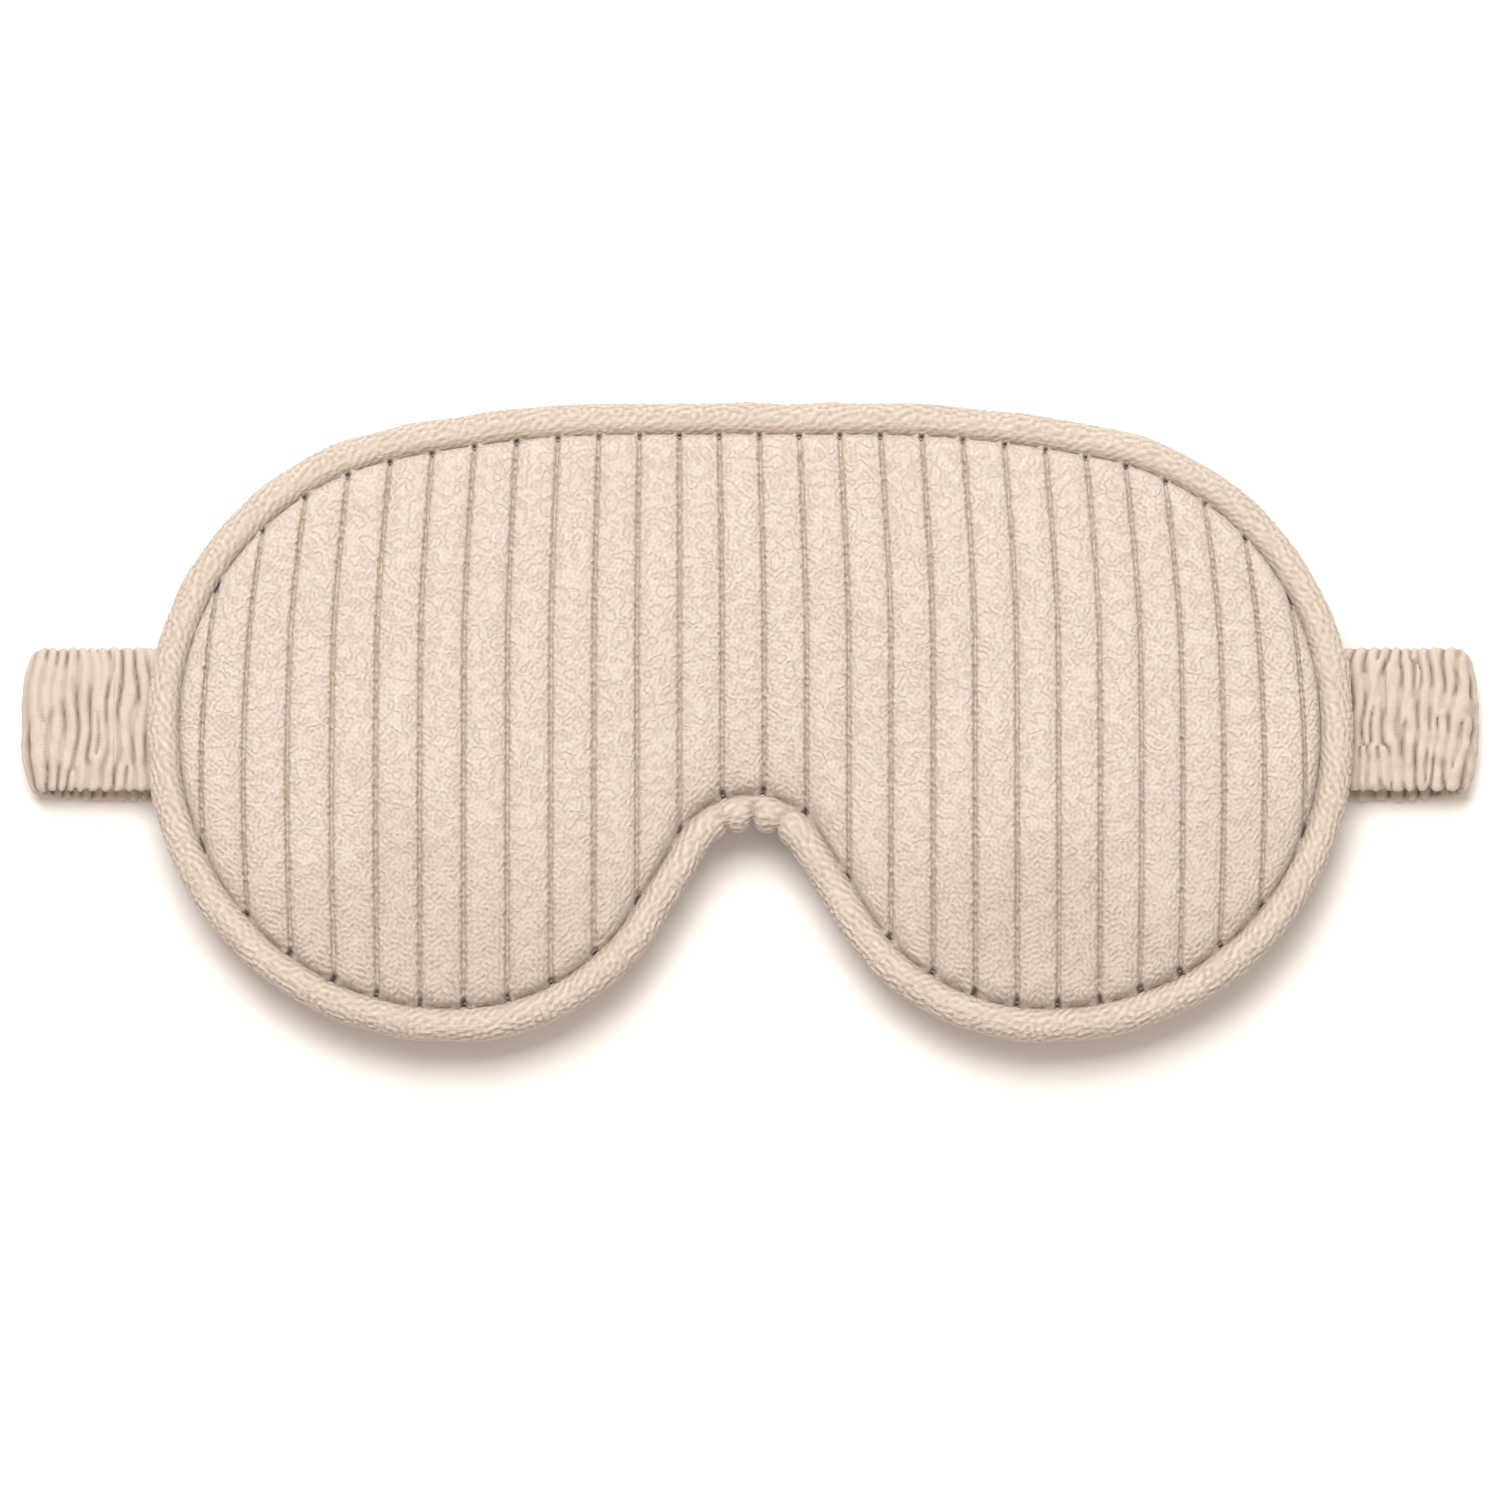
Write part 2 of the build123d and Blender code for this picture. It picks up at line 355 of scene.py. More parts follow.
def strands(seed, pitch, heading, spread, a, b, count=36):
    """Seeded noise whose ridges run near a heading from the b axis, spread apart by some angle:
    cosines of nearly one wavelength, each across its own ridge direction, added up."""
    random = np.random.default_rng(seed)
    total = np.zeros(np.broadcast(a, b).shape, dtype=np.float32)
    for _ in range(count):
        angle = heading + random.uniform(-spread, spread)
        rate = 2 * pi / pitch * random.uniform(0.85, 1.2)
        phase = random.uniform(0, 2 * pi)
        total += np.cos(phase + rate * (cos(angle) * a - sin(angle) * b))
    return total * sqrt(2 / count)


tape_rise = binding_half_height - 0.15 * mm
outer_tape = section_points(
    binding_half_width,
    tape_rise,
    squareness,
    outside_points,
    start=lip_angle,
    whole=False,
)
inner_tape = section_points(
    binding_half_width - tape_thickness,
    tape_rise - tape_thickness,
    squareness,
    inside_points,
    start=lip_angle,
    whole=False,
)
across, up, tape_angles = (np.concatenate([a, b[::-1]]) for a, b in zip(outer_tape, inner_tape))
on_outside = np.arange(len(tape_angles)) < outside_points
x = edge_points[:, 0, None]
y = edge_points[:, 1, None]
ring_angle = tape_angles[None, :]
round_it = 2.9 * mm * ring_angle
along = edge_along[:, None]
outside = smooth((0.25 - np.cos(ring_angle)) / 0.8)
curled = strands(11, 1.25 * mm, 0, radians(90), round_it, along, count=48)
creased = strands(12, 1.3 * mm, 0, radians(28), round_it, along, count=40)
brushed = strands(13, 1.2 * mm, radians(12), radians(50), round_it, along, count=40)
tufts = smooth(0.5 + 0.36 * (outside * (0.7 * curled + 0.7 * creased) + (1 - outside) * 0.6 * brushed))
swell = 0.12 * mm * waves(14, 14 * mm, x + 0 * ring_angle, y, round_it)
puffed = (0.08 + 0.24 * outside) * mm * (tufts - 0.65) + swell
at_notch = np.abs(y - y[binding_steps // 2]) < 12 * mm
outward = smooth((1.15 - np.cos(ring_angle)) / 1.4) * at_notch
# How deep the puckers tuck in. The hollow mark below paints shade into these tucks.
tucked = 0
for pucker_x, pucker_depth, pucker_width in (
    (-3.8, -0.75, 0.45),
    (-1.7, 0.60, 1.35),
    (0.4, -1.55, 0.42),
    (2.3, 0.60, 1.25),
    (4.3, -0.75, 0.45),
    (5.9, 0.35, 0.90),
):
    pucker = outward * np.exp(-(((x - pucker_x * mm) / (pucker_width * mm)) ** 2))
    puffed = puffed + pucker_depth * mm * pucker
    tucked = tucked + max(-pucker_depth, 0) * pucker
join_y = 12.6 * mm
join_lap = 7 * mm
join_step = 0.35 * mm
flap = smooth((join_y - y) / (0.25 * mm)) * smooth((y - join_y + join_lap) / (5 * mm)) * (x > 0)
puffed = puffed + join_step * flap
puffed = np.where(on_outside[None, :], puffed, 0)
centre = edge_points + edge_normals * binding_half_width
offset_across = across[None, :] + puffed * np.cos(ring_angle)
offset_up = up[None, :] + puffed * np.sin(ring_angle)
binding_points = np.concatenate(
    [
        centre[:, None, :] + edge_normals[:, None, :] * offset_across[:, :, None],
        (binding_middle + offset_up)[:, :, None],
    ],
    axis=2,
)
round_mm = np.arange(len(tape_angles) + 1) * 0.3
along_mm = np.arange(binding_steps + 1) * edge_length / binding_steps / mm
binding = cloth_mesh(
    "edge_binding_plush",
    binding_points,
    tape_material,
    along_mm,
    round_mm,
    loop_u=True,
    loop_v=True,
    marks={
        # pile: the tufts' height, whose low parts are painted darker as shade. hollow: painted shade on the
        # inner side beside the front panel, and in the puckers' tucks.
        "pile": np.where(on_outside, tufts, 0.5),
        "hollow": smooth((np.cos(ring_angle) - 0.1) / 0.85) + tucked,
    },
)
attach(binding, "mask")
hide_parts("edge_binding")

# --- Front panel -------------------------------------------------------------------------------
# Plush with wide wales, a cut-pile fabric whose short pile has curled. It is domed by the wadding
# behind it, and the wales' plump ends press out over the seam beside the binding.
_, front_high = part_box("front_panel")
seam_z = front_high.z - 4.6 * mm
wale_pitch = 7.35 * mm
panel_inset = 5.75 * mm
groove_depth = 1.3 * mm


def panel_columns(inset, count):
    """The x of each column across the mask, crowded towards both ends where the edge is steep: 15/14
    of the column's share of the half width, less 1/14 of its fifteenth power."""
    share = np.linspace(-1, 1, count)
    return (binding_high.x - inset) * (15 * share - share**15) / 14


def panel_edges(inset, x):
    """The lower and upper y of the mask's edge moved inwards, at each x."""
    points, normals, _ = mask_edge(6000)
    points = points + inset * normals
    upper = points[:, 1] > 0.5 * mm
    rim = []
    for side in (~upper, upper):
        chain = points[side]
        order = np.argsort(chain[:, 0])
        rim.append(np.interp(x, chain[order, 0], chain[order, 1]))
    return rim


def edge_distance(x, y):
    """The distance from each point to the mask's outer edge, read between the points of a square
    grid of a millimetre, where it is the least distance to the edge's points."""
    step = 1.0 * mm
    points = mask_edge(900)[0].astype(np.float32)
    grid_x = np.arange(-binding_high.x - step, binding_high.x + 2 * step, step, dtype=np.float32)
    grid_y = np.arange(-binding_high.y - step, binding_high.y + 2 * step, step, dtype=np.float32)
    apart_x = (grid_x[:, None] - points[None, :, 0]) ** 2
    apart_y = (grid_y[:, None] - points[None, :, 1]) ** 2
    field = np.sqrt(np.stack([(row[None, :] + apart_y).min(axis=1) for row in apart_x]))
    across = (x - grid_x[0]) / step
    up = (y - grid_y[0]) / step
    column = np.clip(across.astype(int), 0, len(grid_x) - 2)
    row = np.clip(up.astype(int), 0, len(grid_y) - 2)
    across = across - column
    up = up - row
    low = field[column, row] * (1 - across) + field[column + 1, row] * across
    high = field[column, row + 1] * (1 - across) + field[column + 1, row + 1] * across
    return low * (1 - up) + high * up


def wale_place(x, y):
    """Which wale a point is on, as a whole number at each groove. The wales narrow a little away from
    the middle, those near the sides bow inwards at both their ends, and the top edge draws all of
    them towards the middle."""
    bow = 2.8 * mm * (np.abs(x) / (90 * mm)) ** 6 * ((y + 10 * mm) / (40 * mm)) ** 2
    drawn = 2.4 * mm * np.tanh((x + 13 * mm) / (38 * mm)) * (np.maximum(y - 14 * mm, 0) / (36 * mm)) ** 1.5
    x = x + np.sign(x) * bow + drawn
    narrowed = np.where(x < 0, 0.33 * np.minimum(np.abs(x) / (85 * mm), 1) ** 2, 0.2 * (x / (96 * mm)) ** 3)
    return (x - 2.5 * mm) / wale_pitch + narrowed


def dome(distance):
    """Height over the seam at a distance in from the panel's edge: a quick plump rise, and then a
    slow one to the crown."""
    quick = np.clip(distance / (5.0 * mm), 0, 1)
    slow = smooth(distance / (34 * mm))
    return 3.7 * mm * (1 - (1 - quick) ** 2.6) ** (1 / 2.2) + 1.3 * mm * slow


front_columns = 960
front_rows = 440
x = panel_columns(panel_inset, front_columns)
low_y, high_y = panel_edges(panel_inset, x)
notch = []
steep = []
for rim_y, gap_width, gap_depth in ((low_y, 1.15 * mm, 1.15 * mm), (high_y, 0.7 * mm, 0.75 * mm)):
    wale = wale_place(x, rim_y)
    beside = np.abs(wale - np.round(wale)) * wale_pitch
    slope = np.abs(np.gradient(rim_y, x + 1e-9 * np.arange(len(x))))
    steep.append(1 / np.sqrt(1 + slope**2))
    notch.append(np.exp(-((beside / gap_width) ** 2)) * steep[-1] * gap_depth)
low_y, high_y = low_y + notch[0], high_y - notch[1]
share = np.linspace(0, 1, front_rows)
y = low_y[:, None] + (high_y - low_y)[:, None] * share[None, :]
x = np.broadcast_to(x[:, None], y.shape)
wale = wale_place(x, y)
beside = np.abs(wale - np.round(wale)) * wale_pitch
beside = beside + 0.10 * mm * waves(30, 1.1 * mm, x, y)
on_wale = np.floor(wale)
from_centre = (wale - on_wale - 0.5) * wale_pitch
inwards = edge_distance(x, y) - panel_inset
rim = np.minimum((y - low_y[:, None]) * steep[0][:, None], (high_y[:, None] - y) * steep[1][:, None])
groove = 1 - smooth((beside - 0.05 * mm) / (0.52 * mm))
shoulder = 1 - np.clip(beside / (wale_pitch / 2), 0, 1)
a = np.abs(from_centre)
b = y + 53 * mm * on_wale + 29 * mm * (from_centre > 0)
feathered = smooth((-y - 8 * mm + 6 * mm * waves(31, 30 * mm, x, y)) / (34 * mm))
near_low_edge = smooth(1 - (y - low_y[:, None]) / (15 * mm))
feathered = np.maximum(feathered, 0.75 * near_low_edge)
matted = smooth((y - 22 * mm + 5 * mm * waves(32, 24 * mm, x, y)) / (28 * mm))
curl = strands(33, 0.90 * mm, radians(0), radians(90), x, y, count=48)
feather = strands(34, 1.05 * mm, radians(-42), radians(48), a, b, count=48)
brushed = strands(35, 0.90 * mm, radians(-24), radians(30), a, b, count=48)
pile = curl * (1 - 0.55 * feathered) * (1 - 0.6 * matted)
pile = pile + 0.75 * feather * feathered + 0.5 * brushed * matted
# Painted shade at the seam: dark pits at the grooves' ends, where the plush also dips, and a thin broken
# dark crease along the seam.
hole = np.exp(-((rim / (0.27 * mm)) ** 2)) * smooth(1.3 - beside / (0.55 * mm))
crease = 0.35 * np.exp(-((rim / (0.26 * mm)) ** 2)) * smooth(0.5 + 0.7 * waves(37, 3 * mm, x, y))
seam_shade = np.clip(hole + crease, 0, 1)
pile = smooth(0.5 + 0.34 * pile)
pile_depth = (0.13 + 0.27 * feathered - 0.07 * matted) * mm * (1 - groove)
clumps = 0.12 * mm * waves(36, 4.5 * mm, x, y) * (0.4 + feathered) * (1 - groove)
height = dome(np.maximum(inwards, 0)) - (0.65 + 0.35 * feathered) * mm * shoulder**2.2
sunk = groove_depth * groove * (0.55 + 0.45 * smooth(rim / (4 * mm)) + 0.6 * np.exp(-rim / (1.5 * mm)))
height = height - np.minimum(sunk, height * 0.9)
height = height + smooth(rim / (0.8 * mm)) * (pile_depth * (pile - 0.4) + clumps) - 0.5 * mm * hole
height = seam_z + height


def flanged(x, y, z, reach, edge_z):
    """A grid of points with one more ring round it, moved out from the grid's rim towards the mask's
    outer edge and laid at the height of the seam allowance, which the binding grips."""
    x, y, z = (np.pad(values, 1, mode="edge") for values in (x, y, z))
    ring = np.ones(x.shape, dtype=bool)
    ring[1:-1, 1:-1] = False
    step = 0.2 * mm
    out_x = edge_distance(x[ring] - step, y[ring]) - edge_distance(x[ring] + step, y[ring])
    out_y = edge_distance(x[ring], y[ring] - step) - edge_distance(x[ring], y[ring] + step)
    far = reach / np.maximum(np.hypot(out_x, out_y), 1e-9)
    x[ring] += out_x * far
    y[ring] += out_y * far
    z[ring] = edge_z
    return np.stack([x, y, z], axis=2)


inner_rows = np.linspace(0, front_rows - 1, 60).astype(int)
skin = 1.6 * mm * smooth(inwards[:, inner_rows] / (4 * mm)) * (1 - 0.35 * groove[:, inner_rows])
seam_reach = 2.4 * mm
front_top = flanged(x, y, height, seam_reach, seam_z - 0.25 * mm)
front_under = flanged(
    x[:, inner_rows],
    y[:, inner_rows],
    height[:, inner_rows] - skin - 0.25 * mm,
    seam_reach,
    seam_z - 0.8 * mm,
)
front_points = np.concatenate([front_top, front_under[:, ::-1]], axis=1)
end_middles = front_points[[0, -1]].mean(axis=1, keepdims=True)
end_caps = np.repeat(end_middles, front_points.shape[1], axis=1)
front_points = np.concatenate([end_caps[:1], front_points, end_caps[1:]], axis=0)

plush_material, tree, shader = cloth_material("plush")
where = node(tree, "ShaderNodeTexCoord", {}).outputs["Object"]
pile_shade_mark = node(tree, "ShaderNodeAttribute", {}, attribute_name="pile").outputs["Fac"]
groove_mark = node(tree, "ShaderNodeAttribute", {}, attribute_name="groove").outputs["Fac"]
feather_mark = node(tree, "ShaderNodeAttribute", {}, attribute_name="feathered").outputs["Fac"]
across_mark = node(tree, "ShaderNodeAttribute", {}, attribute_name="across").outputs["Fac"]
seam_shade_mark = node(tree, "ShaderNodeAttribute", {}, attribute_name="seam").outputs["Fac"]
apart = node(tree, "ShaderNodeSeparateXYZ", {0: where})
lean_angle = radians(44)
lean_pitch = 0.62
lean_up = calc(tree, "MULTIPLY", apart.outputs["Y"], 2 * pi / (lean_pitch * mm) * sin(lean_angle))
lean = calc(tree, "MULTIPLY_ADD", across_mark, 2 * pi / lean_pitch * cos(lean_angle), lean_up)
loose_curls = curled_pile(tree, where)
combed_curls = curled_pile(tree, where, lean)
combed = calc(tree, "MULTIPLY", feather_mark, 0.4)
towards_combed = calc(tree, "MULTIPLY", combed, calc(tree, "SUBTRACT", combed_curls, loose_curls))
curls = calc(tree, "ADD", loose_curls, towards_combed)
patch = noise(tree, where, 90, detail=2.0)
# Painted shade: the plush is darker in the gaps between its curls and where the pile is low (curls, pile
# mark). Patch is the cloth's own uneven tone.
share = calc(tree, "MULTIPLY_ADD", curls, 0.27, calc(tree, "MULTIPLY_ADD", pile_shade_mark, 0.27, 0.36))
share = calc(tree, "MULTIPLY_ADD", patch, 0.10, share)
# Painted shade: the feathered lower part of the front, where the pile stands rougher and the light falls
# off, is painted a little darker.
share = calc(tree, "MULTIPLY_ADD", feather_mark, -0.13, share)
on_pile = blend_colours(tree, share, pile_gap_shade, pile_crest_colour)
stretched = node(tree, "ShaderNodeMapping", {0: where, 3: (2.2, 1.0, 1.0)}).outputs[0]
loops = noise(tree, stretched, 1150, detail=0.0)
rib_wave = calc(tree, "SINE", calc(tree, "MULTIPLY", apart.outputs["X"], 2 * pi / (0.45 * mm)))
dots = calc(tree, "MULTIPLY_ADD", loops, 2.4, calc(tree, "MULTIPLY_ADD", rib_wave, 0.18, -0.7))
ground = blend_colours(tree, dots, (0.34, 0.265, 0.19, 1), (0.57, 0.475, 0.385, 1))
colour = blend_colours(tree, calc(tree, "MULTIPLY", groove_mark, 0.75), on_pile, ground)
# Painted shade in the pits at the grooves' ends and along the seam's crease.
colour = blend_colours(tree, seam_shade_mark, colour, (0.15, 0.105, 0.075, 1))
lift = calc(tree, "MULTIPLY", curls, calc(tree, "SUBTRACT", 1.0, groove_mark))
lift = calc(tree, "ADD", lift, calc(tree, "MULTIPLY", calc(tree, "MULTIPLY", dots, groove_mark), 0.8))
dress(tree, shader, colour, lift, 0.12 * mm)

column_mm = (front_points[:, 0, 0] + binding_high.x) / mm
row_mm = np.arange(front_points.shape[1] + 1) * 0.25
marks = {}
# The pile mark paints shade where the curls are low, and, less 0.45 of the shoulder's cube, in soft bands
# along the wales' sides beside the grooves.
for mark, values in (
    ("pile", np.clip(pile - 0.45 * shoulder**3, 0, 1)),
    ("groove", groove),
    ("feathered", feathered),
    ("across", a / mm),
    ("seam", seam_shade),
):
    upper = np.pad(values, 1, mode="edge")
    lower = np.pad(values[:, inner_rows], 1, mode="edge")[:, ::-1]
    marks[mark] = np.pad(np.concatenate([upper, lower], axis=1), ((1, 1), (0, 0)), mode="edge")
front = cloth_mesh(
    "front_panel_plush",
    front_points,
    plush_material,
    column_mm,
    row_mm,
    loop_v=True,
    marks=marks,
    weld=True,
)
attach(front, "mask")
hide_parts("front_panel")

# --- Back panel --------------------------------------------------------------------------------
# The smooth lining that lies on the eyes: one layer of fine jersey, cut to the same shape as the
# front and caught in the same seam, where it gathers a little.
back_low, back_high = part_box("back_panel")
lining_thickness = 0.7 * mm
lining_face = back_low.z + 0.1 * mm


def layer_shape(inset, columns, rows):
    """A grid of x and y that fills the mask's shape moved inwards."""
    x = panel_columns(inset, columns)
    low_y, high_y = panel_edges(inset, x)
    share = np.linspace(0, 1, rows)
    y = low_y[:, None] + (high_y - low_y)[:, None] * share[None, :]
    return np.broadcast_to(x[:, None], y.shape), y


def layer_mesh(name, x, y, top, under, material, reach, edge_top, edge_under):
    """A closed layer between an upper and a lower surface, with its seam allowance round it."""
    upper = flanged(x, y, top, reach, edge_top)
    lower = flanged(x, y, under, reach, edge_under)
    lower[0, :, 2] = lower[-1, :, 2] = edge_top
    points = np.concatenate([upper, lower[:, ::-1]], axis=1)
    u = points[:, 0, 0] / mm
    v = np.arange(points.shape[1] + 1) * 1.0
    return cloth_mesh(name, points, material, u, v, loop_v=True, weld=True)


def jersey_grain(tree, where, pitch=0.34 * mm):
    """Fine knit: columns of stitches one pitch apart along x, broken up by noise."""
    axes = node(tree, "ShaderNodeSeparateXYZ", {0: where})
    bend = calc(tree, "MULTIPLY", noise(tree, where, 160, detail=1.0), 5.0)
    column = calc(tree, "MULTIPLY_ADD", axes.outputs["X"], 2 * pi / pitch, bend)
    return calc(tree, "MULTIPLY_ADD", calc(tree, "SINE", column), 0.5, 0.5)


lining_material, tree, shader = cloth_material("lining", roughness=0.8, sheen=0.15)
where = node(tree, "ShaderNodeTexCoord", {}).outputs["Object"]
grain = jersey_grain(tree, where)
cloudy = noise(tree, where, 60, detail=3.0)
share = calc(tree, "MULTIPLY_ADD", cloudy, 0.4, calc(tree, "MULTIPLY", grain, 0.5))
colour = blend_colours(tree, share, (0.53, 0.44, 0.365, 1), (0.68, 0.585, 0.50, 1))
dress(tree, shader, colour, grain, 0.06 * mm)

past_seam = 3.4 * mm
x, y = layer_shape(seam_reach + past_seam, 300, 130)
inwards = edge_distance(x, y) - seam_reach - past_seam
fullness = 1 - (1 - np.clip(inwards / (7 * mm), 0, 1)) ** 2.2
gather = strands(41, 5.5 * mm, 0, radians(40), x, y)
gather = gather * np.exp(-inwards / (4 * mm)) * smooth(inwards / (1.5 * mm))
ripple = 0.10 * mm * waves(42, 30 * mm, x, y) * fullness
lining_under = back_high.z - lining_thickness - (back_high.z - lining_thickness - lining_face) * fullness
lining_under = np.maximum(lining_under + 0.16 * mm * gather + np.maximum(ripple, 0), lining_face)
lining_top = lining_under + 0.6 * mm
lining = layer_mesh(
    "back_panel_jersey",
    x,
    y,
    lining_top,
    lining_under,
    lining_material,
    seam_reach,
    back_high.z - 0.02 * mm,
    back_high.z - lining_thickness + 0.02 * mm,
)
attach(lining, "mask")
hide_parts("back_panel")

# --- Wadding and blackout layer ----------------------------------------------------------------
# Polyester wadding fills the dome of the front. Behind it lies a thin black-coated cloth that
# keeps the light out. Both run out to the seam and are held only there.
wadding_low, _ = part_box("wadding_pad")
film_low, film_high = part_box("blackout_layer")

wadding_material, tree, shader = cloth_material("wadding", roughness=1.0, sheen=0.1)
where = node(tree, "ShaderNodeTexCoord", {}).outputs["Object"]
fluff = noise(tree, where, 420, detail=4.0, roughness=0.7)
colour = blend_colours(tree, fluff, (0.70, 0.69, 0.67, 1), (0.93, 0.92, 0.90, 1))
dress(tree, shader, colour, fluff, 0.5 * mm)

film_material, tree, shader = cloth_material("blackout", roughness=0.55, sheen=0.0)
where = node(tree, "ShaderNodeTexCoord", {}).outputs["Object"]
grain = jersey_grain(tree, where, pitch=0.5 * mm)
colour = blend_colours(tree, grain, (0.010, 0.010, 0.012, 1), (0.022, 0.022, 0.026, 1))
dress(tree, shader, colour, grain, 0.03 * mm)

x, y = layer_shape(panel_inset, 200, 90)
inwards = edge_distance(x, y) - panel_inset
wadding_floor = wadding_low.z + 0.02 * mm
loft = seam_z + dome(np.maximum(inwards - 1.0 * mm, 0)) - 2.9 * mm + 0.08 * mm * waves(51, 9 * mm, x, y)
wadding_top = np.maximum(loft, wadding_floor + 0.5 * mm)
wadding = layer_mesh(
    "wadding_fill",
    x,
    y,
    wadding_top,
    np.full(x.shape, wadding_floor),
    wadding_material,
    seam_reach,
    wadding_floor + 0.5 * mm,
    wadding_floor,
)
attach(wadding, "mask")
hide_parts("wadding_pad")

film = layer_mesh(
    "blackout_film",
    x,
    y,
    np.full(x.shape, film_high.z - 0.02 * mm),
    np.full(x.shape, film_low.z + 0.02 * mm),
    film_material,
    seam_reach,
    film_high.z - 0.02 * mm,
    film_low.z + 0.02 * mm,
)
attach(film, "mask")
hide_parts("blackout_layer")

# --- Seam stitches -----------------------------------------------------------------------------
# One row of lock stitch beside the binding, on the front and on the back, in polyester thread.
thread_radius = 0.24 * mm
stitch_length = 2.9 * mm
stitch_pitch = 3.6 * mm

thread_material, tree, shader = cloth_material("thread", roughness=0.6, sheen=0.1)
where = node(tree, "ShaderNodeTexCoord", {}).outputs["Object"]
ply = node(
    tree,
    "ShaderNodeTexWave",
    {"Vector": where, "Scale": 900.0, "Distortion": 1.5},
    wave_type="BANDS",
    bands_direction="DIAGONAL",
).outputs["Fac"]
colour = blend_colours(tree, ply, (0.20, 0.145, 0.105, 1), (0.40, 0.31, 0.25, 1))
dress(tree, shader, colour, ply, 0.05 * mm)


def thread_mesh(name, starts, ends, rise, material):
    """Many short threads in one mesh. Each is a round bar of ten rings of six points that narrows to
    nothing at both ends and arches up by a sine of the share of its length."""
    along = np.linspace(0, 1, 10)[None, :, None, None]
    angle = (np.arange(6) * pi / 3)[None, None, :, None]
    run = (ends - starts)[:, None, None, :]
    up = np.array([0.0, 0.0, 1.0])
    side = np.cross(run / np.linalg.norm(run, axis=3, keepdims=True), up)
    radius = thread_radius * (1 - np.abs(2 * along - 1) ** 4) ** 0.5
    rising = rise[:, None, None, None] * np.sin(pi * along) * up
    points = starts[:, None, None, :] + run * along + rising
    points = points + radius * (np.cos(angle) * side + np.sin(angle) * up)
    rings, sides = points.shape[1:3]
    ring, corner = np.meshgrid(np.arange(rings - 1), np.arange(sides), indexing="ij")
    ring, corner = ring.ravel() * sides, corner.ravel()
    after = (corner + 1) % sides
    further = ring + sides
    quads = np.stack([ring + corner, ring + after, further + after, further + corner], axis=1)
    faces = (quads[None] + (np.arange(len(points)) * rings * sides)[:, None, None]).reshape(-1, 4)
    mesh = bpy.data.meshes.new(name)
    mesh.from_pydata(points.reshape(-1, 3).tolist(), [], faces.tolist())
    shell = bmesh.new()
    shell.from_mesh(mesh)
    bmesh.ops.remove_doubles(shell, verts=shell.verts, dist=1e-7)
    bmesh.ops.dissolve_degenerate(shell, dist=1e-8, edges=shell.edges)
    bmesh.ops.recalc_face_normals(shell, faces=shell.faces)
    shell.to_mesh(mesh)
    shell.free()
    mesh.polygons.foreach_set("use_smooth", np.ones(len(mesh.polygons), dtype=bool))
    mesh.materials.append(material)
    made = bpy.data.objects.new(name, mesh)
    bpy.context.collection.objects.link(made)
    return made


stitch_count = int(edge_length / stitch_pitch)
seam_points, seam_normals, _ = mask_edge(stitch_count * 20)
stitch_inset = 6.35 * mm
seam_points = seam_points + seam_normals * stitch_inset
first = seam_points[::20]
last = np.roll(seam_points, -int(20 * stitch_length / stitch_pitch), axis=0)[::20]
rows = []
for stitch_z, rise in ((seam_z - 0.1 * mm, 0.2 * mm), (back_high.z - 0.95 * mm, -0.25 * mm)):
    level = np.full(len(first), stitch_z)
    rows.append((np.c_[first, level], np.c_[last, level], rise))
stitches = thread_mesh(
    "binding_thread",
    np.concatenate([row[0] for row in rows]),
    np.concatenate([row[1] for row in rows]),
    np.repeat([row[2] for row in rows], stitch_count),
    thread_material,
)
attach(stitches, "mask")
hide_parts("binding_stitches")

# --- Head strap --------------------------------------------------------------------------------
# A tube of jersey, gathered along a flat elastic a quarter shorter than it, so that it puckers into
# close ruches across the strap. Both ends are tacked to the lining, and it lies folded behind the
# mask. Each length between its bends is its own piece.
tab_low, tab_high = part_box("cover_tab_right")
_, fold_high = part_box("cover_fold_right")
run_low, run_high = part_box("cover_back_right")
strap_thick = tab_high.z - tab_low.z
strap_half_width = (tab_high.y - tab_low.y) / 2
strap_y = (tab_high.y + tab_low.y) / 2
upper_z = (tab_high.z + tab_low.z) / 2
lower_z = (run_high.z + run_low.z) / 2
fold_z = (upper_z + lower_z) / 2
fold_radius = (upper_z - lower_z) / 2
fold_x = fold_high.x - fold_radius - strap_thick / 2
straight = fold_x - tab_low.x
half_turn = pi * fold_radius
ruche_pitch = 2.3 * mm
ruche_depth = 1.15 * mm
bent_in = 1.3 * mm
cover_wall = 0.78 * mm


def strap_line(along, across):
    """The middle of the strap's thickness and the direction out of its front face, at a distance
    along it from its sewn end and across it from its middle: a straight run, half a turn, and a
    straight run back, which has slipped a little. The fold bulges out at the middle of its width."""
    turn = np.clip((along - straight) / fold_radius, 0, pi)
    back = np.maximum(along - straight - half_turn, 0)
    ahead = np.minimum(along, straight)
    x = tab_low.x + ahead - back + fold_radius * np.sin(turn)
    z = fold_z + fold_radius * np.cos(turn)
    edge = np.abs(across) / strap_half_width
    near_fold = smooth((x - fold_x + 9 * mm) / (10 * mm))
    x = x - bent_in * near_fold * edge**3
    slipped = strap_y + 0.55 * mm - 1.0 * mm * smooth((along - straight) / (2 * half_turn))
    return x, slipped, z, np.sin(turn), np.cos(turn)


